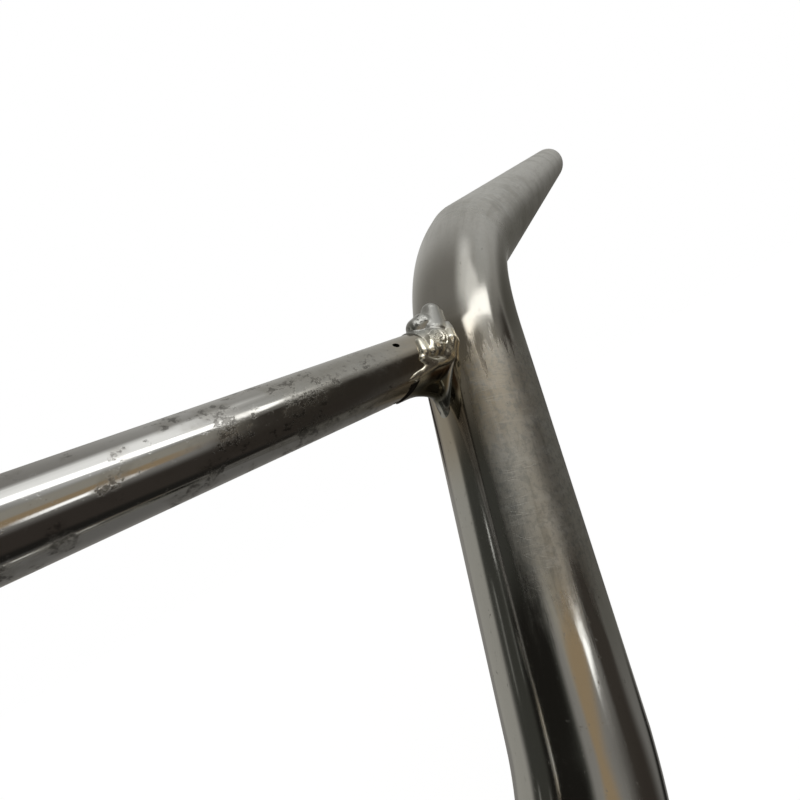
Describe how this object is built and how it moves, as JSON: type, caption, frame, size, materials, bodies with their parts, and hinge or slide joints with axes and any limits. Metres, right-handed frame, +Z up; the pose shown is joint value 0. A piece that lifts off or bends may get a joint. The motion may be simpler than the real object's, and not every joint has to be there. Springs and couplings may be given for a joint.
{
  "type": "dirt bike handlebar",
  "caption": "Bent chromed steel tube handlebar with a thinner crossbar welded between its risers, for a dirt bike.",
  "frame": {"origin": "centre of the clamp zone, on the tube's axis", "axes": "+X to the rider's right along the clamp zone, +Y to the front of the bike, +Z up in the plane of the risers; the grips turn up and to the rear"},
  "size_m": [0.829, 0.0981, 0.2325],
  "materials": {
    "bar_chrome": "old chrome plate on steel, hazy and worn",
    "crossbar_chrome": "chrome plate on steel, bright with dark pitting",
    "weld_chrome": "chrome plate over rough weld, warm tarnish"
  },
  "bodies": {
    "root": {"main_tube": "bar_chrome", "crossbar": "crossbar_chrome", "weld_left": "weld_chrome", "weld_right": "weld_chrome"}
  },
  "joints": []
}
